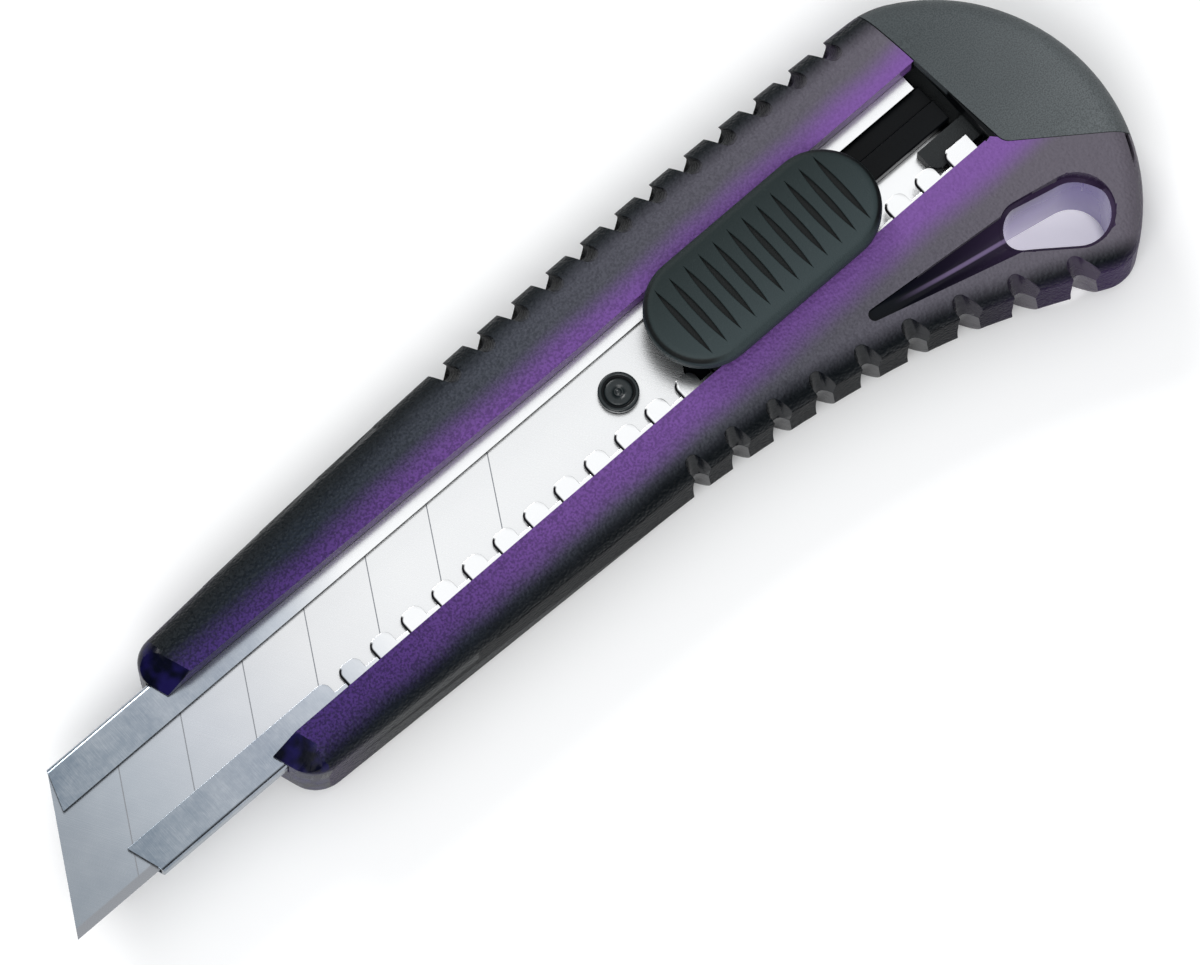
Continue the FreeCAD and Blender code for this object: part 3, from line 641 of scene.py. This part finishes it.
def make_grip():
    front = merged("handle_front_shell")
    soften(front, 0.22)
    slice_grid(front, 3.0, 1.0, SPLIT + 0.5)
    scoop(front)
    crown(front, 1.3)
    mark_grip_faces(front)
    piece("grip_front", front, grip_finishes, "grip", ["handle_front_shell"])
    back = merged("handle_back_shell")
    soften(back, 0.22)
    mark_grip_faces(back)
    piece("grip_back", back, grip_finishes, "grip", ["handle_back_shell"])


def make_cap():
    cap = merged("end_cap")
    soften(cap, 0.2)
    slice_grid(cap, 2.0, 1.0, SPLIT + 0.5)
    crown(cap, 1.3)
    piece("rear_cap", cap, [cap_finish], "cap", ["end_cap"])


def make_steel():
    rail = merged("blade_rail")
    soften(rail, 0.2)
    mark_cut_edges(rail)
    piece("rail", rail, [strip, cut_edge_shade], "grip", ["blade_rail"])
    blade = merged("cutting_blade")
    piece("blade", blade, [ground], "carriage", ["cutting_blade"])


def make_carriage():
    carrier = merged("blade_carrier")
    soften(carrier, 0.15)
    piece("carrier", carrier, [black], "carriage", ["blade_carrier"])
    piece("thumb_button", merged("slide_button"), [rubber], "button", ["slide_button"])
    make_rib_lips()
    make_stud()


def turned(name, profile, centre, material, body, sides=64):
    """A piece turned on an upright axis, from its profile of (radius, height) in millimetres, axis last."""
    mesh = bmesh.new()
    rings = []
    for radius, height in profile[:-1]:
        rings.append([mesh.verts.new((
            centre[0] + radius * MM * math.cos(2 * math.pi * i / sides),
            centre[1] + radius * MM * math.sin(2 * math.pi * i / sides), height * MM)) for i in range(sides)])
    for outer, inner in zip(rings, rings[1:]):
        for i in range(sides):
            j = (i + 1) % sides
            mesh.faces.new((outer[i], outer[j], inner[j], inner[i]))
    middle = mesh.verts.new((centre[0], centre[1], profile[-1][1] * MM))
    for i in range(sides):
        mesh.faces.new((rings[-1][i], rings[-1][(i + 1) % sides], middle))
    mesh.faces.new(list(reversed(rings[0])))
    piece(name, mesh, [material], body, None, 50.0)


def lens_lip_tree():
    """A row of raised lips round lens-shaped ribs, as a node tree with the ribs' sizes as inputs."""
    tree = bpy.data.node_groups.new("lens_lips", "GeometryNodeTree")
    for label, kind, default in (
            ("Count", "NodeSocketInt", 12), ("Pitch", "NodeSocketFloat", 1.0),
            ("Length", "NodeSocketFloat", 1.0),
            ("Width", "NodeSocketFloat", 1.0), ("Bead", "NodeSocketFloat", 1.0),
            ("Finish", "NodeSocketMaterial", None)):
        made = tree.interface.new_socket(label, in_out="INPUT", socket_type=kind)
        if default is not None:
            made.default_value = default
    tree.interface.new_socket("Geometry", in_out="OUTPUT", socket_type="NodeSocketGeometry")

    def add(kind, settings=None, inputs=None):
        made = tree.nodes.new(kind)
        for key, value in (settings or {}).items():
            setattr(made, key, value)
        for key, value in (inputs or {}).items():
            if isinstance(value, bpy.types.NodeSocket):
                tree.links.new(value, made.inputs[key])
            else:
                made.inputs[key].default_value = value
        return made

    sizes = add("NodeGroupInput").outputs
    half = add("ShaderNodeMath", {"operation": "MULTIPLY"}, {0: sizes["Length"], 1: 0.5}).outputs[0]
    back = add("ShaderNodeMath", {"operation": "MULTIPLY"}, {0: sizes["Length"], 1: -0.5}).outputs[0]
    start = add("ShaderNodeCombineXYZ", None, {"Y": back}).outputs[0]
    end = add("ShaderNodeCombineXYZ", None, {"Y": half}).outputs[0]
    arcs = add("GeometryNodeJoinGeometry")
    for side in (-0.5, 0.5):
        bulge = add("ShaderNodeMath", {"operation": "MULTIPLY"}, {0: sizes["Width"], 1: side}).outputs[0]
        crest = add("ShaderNodeCombineXYZ", None, {"X": bulge}).outputs[0]
        arc = add("GeometryNodeCurveArc", {"mode": "POINTS"}, {"Resolution": 25})
        tree.links.new(start, arc.inputs["Start"])
        tree.links.new(crest, arc.inputs["Middle"])
        tree.links.new(end, arc.inputs["End"])
        tree.links.new(arc.outputs[0], arcs.inputs[0])
    place = add("GeometryNodeSplineParameter").outputs["Factor"]
    turn = add("ShaderNodeMath", {"operation": "MULTIPLY"}, {0: place, 1: math.pi}).outputs[0]
    wave = add("ShaderNodeMath", {"operation": "SINE"}, {0: turn}).outputs[0]
    swell = add("ShaderNodeMath", {"operation": "MULTIPLY_ADD"}, {0: wave, 1: 0.7, 2: 0.3}).outputs[0]
    tapered = add("GeometryNodeSetCurveRadius", None, {"Curve": arcs.outputs[0], "Radius": swell})
    ring = add("GeometryNodeCurvePrimitiveCircle", None, {"Resolution": 8, "Radius": sizes["Bead"]})
    bead = add("GeometryNodeCurveToMesh", None, {
        "Curve": tapered.outputs[0], "Profile Curve": ring.outputs[0], "Scale": swell, "Fill Caps": True})
    step = add("ShaderNodeCombineXYZ", None, {"X": sizes["Pitch"]}).outputs[0]
    row = add("GeometryNodeMeshLine", None, {"Count": sizes["Count"], "Offset": step})
    copies = add("GeometryNodeInstanceOnPoints", None, {
        "Points": row.outputs[0], "Instance": bead.outputs[0]})
    real = add("GeometryNodeRealizeInstances", None, {"Geometry": copies.outputs[0]})
    smooth = add("GeometryNodeSetShadeSmooth", None, {"Geometry": real.outputs[0]})
    done = add("GeometryNodeSetMaterial", None, {"Geometry": smooth.outputs[0], "Material": sizes["Finish"]})
    add("NodeGroupOutput", None, {0: done.outputs[0]})
    return tree


def make_rib_lips():
    """The raised edges of the button's twelve ribs."""
    count, pitch, length, width, bead = 12, 2.38, 11.0, 1.1, 0.13
    tree = lens_lip_tree()
    made = bpy.data.objects.new("button_rib_lips", bpy.data.meshes.new("button_rib_lips"))
    bpy.context.scene.collection.objects.link(made)
    grown = made.modifiers.new("lips", "NODES")
    grown.node_group = tree
    values = {"Count": count, "Pitch": pitch * MM, "Length": length * MM, "Width": width * MM,
              "Bead": bead * MM, "Finish": rubber}
    for item in tree.interface.items_tree:
        if item.in_out == "INPUT":
            grown[item.identifier] = values[item.name]
    settle(made)
    middle = (button_low + button_high) / 2
    made.data.transform(Matrix.Translation((
        middle.x - (count - 1) / 2 * pitch * MM, middle.y, button_high.z - bead * MM)))
    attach(made, "button")


def make_stud():
    """The head of the stud that holds the blade, with its raised rim and gate mark."""
    top = blade_high.z / MM
    centre = (ORIGIN.x + STUD[0] * MM, ORIGIN.y + STUD[1] * MM)
    profile = [(2.45, top + 0.02), (2.6, top + 0.3), (2.6, top + 0.95), (2.5, top + 1.1), (2.18, top + 1.12),
               (2.1, top + 1.02), (2.06, top + 0.84), (1.78, top + 0.84), (1.72, top + 0.98),
               (1.62, top + 1.06), (0.62, top + 1.06), (0.58, top + 0.94), (0.4, top + 0.94),
               (0.36, top + 1.04), (0.0, top + 1.04)]
    turned("blade_stud_head", profile, centre, stud_finish, "carriage")


def finish_hidden_pieces():
    """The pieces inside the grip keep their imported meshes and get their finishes."""
    finishes = {
        "rail_bed": black, "button_plunger": black, "store_spring": sprung, "lock_spring": sprung,
        "spring_rivet": sprung, "button_spring": sprung, "spare_blade_1": ground, "spare_blade_2": ground}
    for node, material in finishes.items():
        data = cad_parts[node].data
        data.materials.clear()
        data.materials.append(material)


def softbox(name, place, aim, size, power):
    lamp = bpy.data.lights.new(name, "AREA")
    lamp.shape = "RECTANGLE"
    lamp.size, lamp.size_y = size
    lamp.energy = power
    made = bpy.data.objects.new(name, lamp)
    made.location = place
    made.rotation_euler = (Vector(aim) - Vector(place)).to_track_quat("-Z", "Y").to_euler()
    bpy.context.scene.collection.objects.link(made)


def make_studio():
    low, high = cad_box
    floor_mesh = bpy.data.meshes.new("table")
    reach = 3.0
    floor_mesh.from_pydata(
        [(-reach, -reach, low.z), (reach, -reach, low.z), (reach, reach, low.z), (-reach, reach, low.z)],
        [], [(0, 1, 2, 3)])
    floor_mesh.materials.append(table_top())
    floor = bpy.data.objects.new("table", floor_mesh)
    bpy.context.scene.collection.objects.link(floor)
    softbox("spine_softbox", (0.25, 1.5, 1.0), (0.0, 0.0, 0.0), (0.7, 0.5), 14.0)
    softbox("camera_side_softbox", (-1.1, -0.9, 1.5), (0.0, 0.0, 0.0), (1.4, 1.4), 27.0)
    bpy.context.scene.world = light_tent()
    bpy.context.scene.view_settings.view_transform = "Standard"


def light_tent():
    """A white ceiling over the table, falling off to a dark room at the level of the table."""
    world = bpy.data.worlds.new("light_tent")
    world.use_nodes = True
    nodes, links = world.node_tree.nodes, world.node_tree.links
    sky = nodes["Background"]
    heading = nodes.new("ShaderNodeTexCoord")
    parts = nodes.new("ShaderNodeSeparateXYZ")
    ceiling = nodes.new("ShaderNodeMapRange")
    ceiling.interpolation_type = "SMOOTHSTEP"
    for socket, value in ((1, 0.42), (2, 0.88), (3, 0.04), (4, 1.14)):
        ceiling.inputs[socket].default_value = value
    links.new(heading.outputs["Generated"], parts.inputs[0])
    links.new(parts.outputs["Z"], ceiling.inputs[0])
    links.new(ceiling.outputs[0], sky.inputs["Strength"])
    sky.inputs["Color"].default_value = (0.97, 0.985, 1.0, 1.0)
    return world


def make_camera():
    """Looks down on the knife from its edge side and front, with the lens of a long studio camera."""
    middle = (cad_box[0] + cad_box[1]) / 2
    azimuth, elevation, distance = math.radians(228.44), math.radians(74.31), 1.0331
    aim = Vector((middle.x + 2.1 * MM, middle.y - 1.4 * MM, 11.0 * MM))
    away = Vector((
        math.cos(elevation) * math.cos(azimuth), math.cos(elevation) * math.sin(azimuth),
        math.sin(elevation)))
    lens = bpy.data.cameras.new("studio_camera")
    lens.sensor_width = 36.0
    lens.lens = 251.6
    lens.clip_start = 0.05
    camera = bpy.data.objects.new("studio_camera", lens)
    camera.location = aim + away * distance
    camera.rotation_euler = (-away).to_track_quat("-Z", "Y").to_euler()
    bpy.context.scene.collection.objects.link(camera)
    bpy.context.scene.camera = camera


make_grip()
make_cap()
make_steel()
make_carriage()
finish_hidden_pieces()
make_studio()
make_camera()
